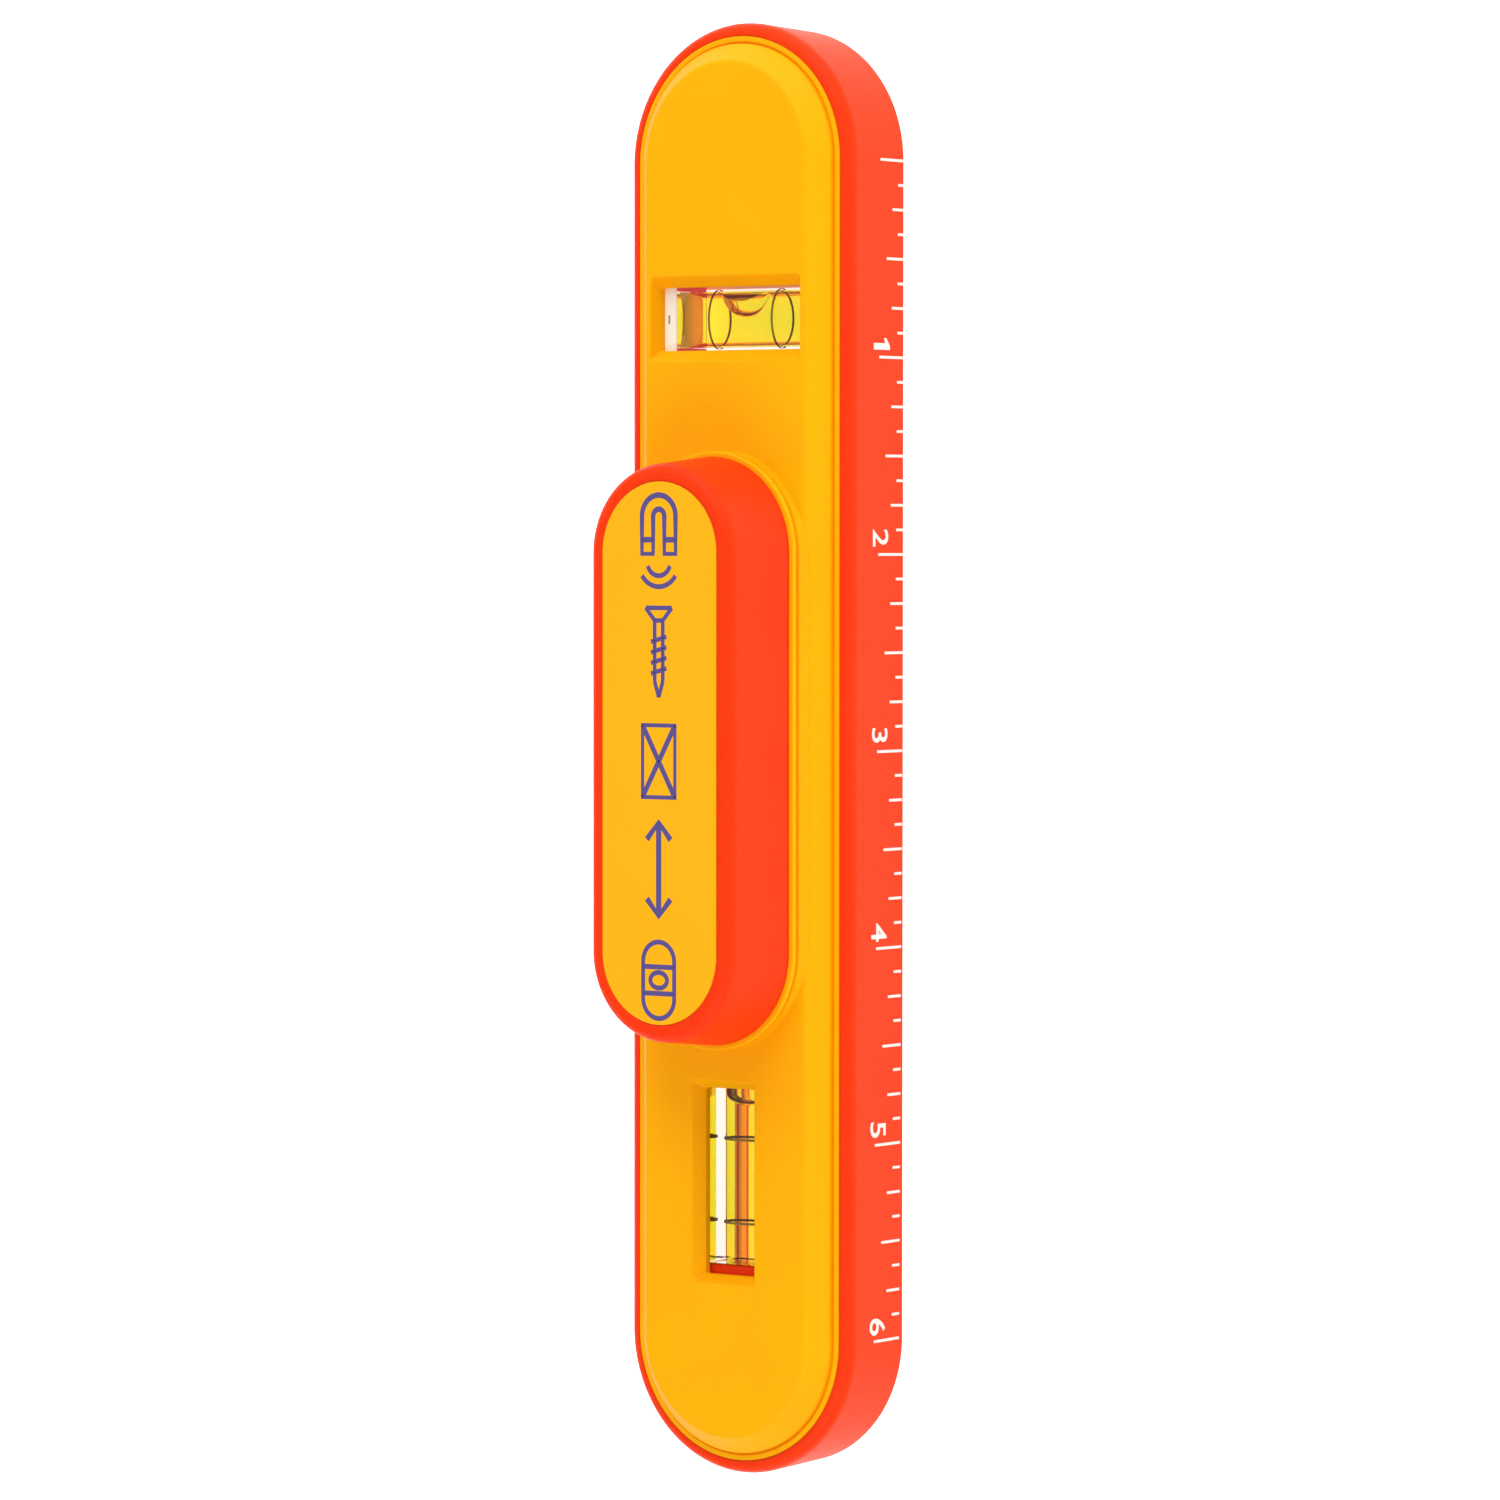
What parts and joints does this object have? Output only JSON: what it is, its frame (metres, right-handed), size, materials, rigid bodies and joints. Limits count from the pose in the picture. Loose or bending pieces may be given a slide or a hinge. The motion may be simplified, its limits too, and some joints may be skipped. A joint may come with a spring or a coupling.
{
  "type": "magnetic stud finder",
  "caption": "Long round-ended magnetic stud finder with a raised grip, a level vial crosswise and one lengthwise, and an inch ruler along one side.",
  "frame": {"origin": "middle of the back face, the face that slides over the wall", "axes": "+Z out of the back towards the grip, +Y along the tool towards the crosswise vial, +X towards the ruler side"},
  "size_m": [0.0358, 0.1882, 0.0293],
  "materials": {
    "red_plastic": "satin moulded plastic, orange-red",
    "yellow_plastic": "satin moulded plastic, warm yellow",
    "label": "smooth printed label, warm yellow",
    "white_ink": "white pad print",
    "blue_ink": "violet-blue pad print",
    "black_ink": "black marking line",
    "white_plastic": "white vial cap",
    "black_plastic": "black moulded plastic",
    "acrylic": "clear cast acrylic",
    "liquid": "yellow-green vial liquid",
    "bubble": "air bubble",
    "nickel": "nickel-plated magnet",
    "screw_steel": "zinc-plated steel"
  },
  "bodies": {
    "root": {"base_tray": "red_plastic", "front_cover": "yellow_plastic", "handle_shell": "red_plastic", "handle_label": "label", "ruler_marks": "white_ink", "magnet_upper": "nickel", "magnet_lower": "nickel", "magnet_retainer": "black_plastic", "cross_vial_body": "acrylic", "cross_vial_cap": "white_plastic", "cross_vial_liquid": "liquid", "cross_ring_left": "black_ink", "cross_ring_right": "black_ink", "long_vial_body": "acrylic", "long_vial_cap": "white_plastic", "long_vial_liquid": "liquid", "long_ring_upper": "black_ink", "long_ring_lower": "black_ink", "cover_screws": "screw_steel", "handle_screws": "screw_steel", "retainer_screws": "screw_steel"},
    "cross_bubble": {"cross_vial_bubble": "bubble"},
    "long_bubble": {"long_vial_bubble": "bubble"}
  },
  "joints": [
    {"name": "cross_level", "type": "slide", "parent": "root", "child": "cross_bubble", "axis": [1, 0, 0], "range_m": [-0.0044, 0.0075], "deforming": ["cross_vial_liquid"]},
    {"name": "long_level", "type": "slide", "parent": "root", "child": "long_bubble", "axis": [0, 1, 0], "range_m": [-0.0188, 0], "deforming": ["long_vial_liquid"]}
  ]
}
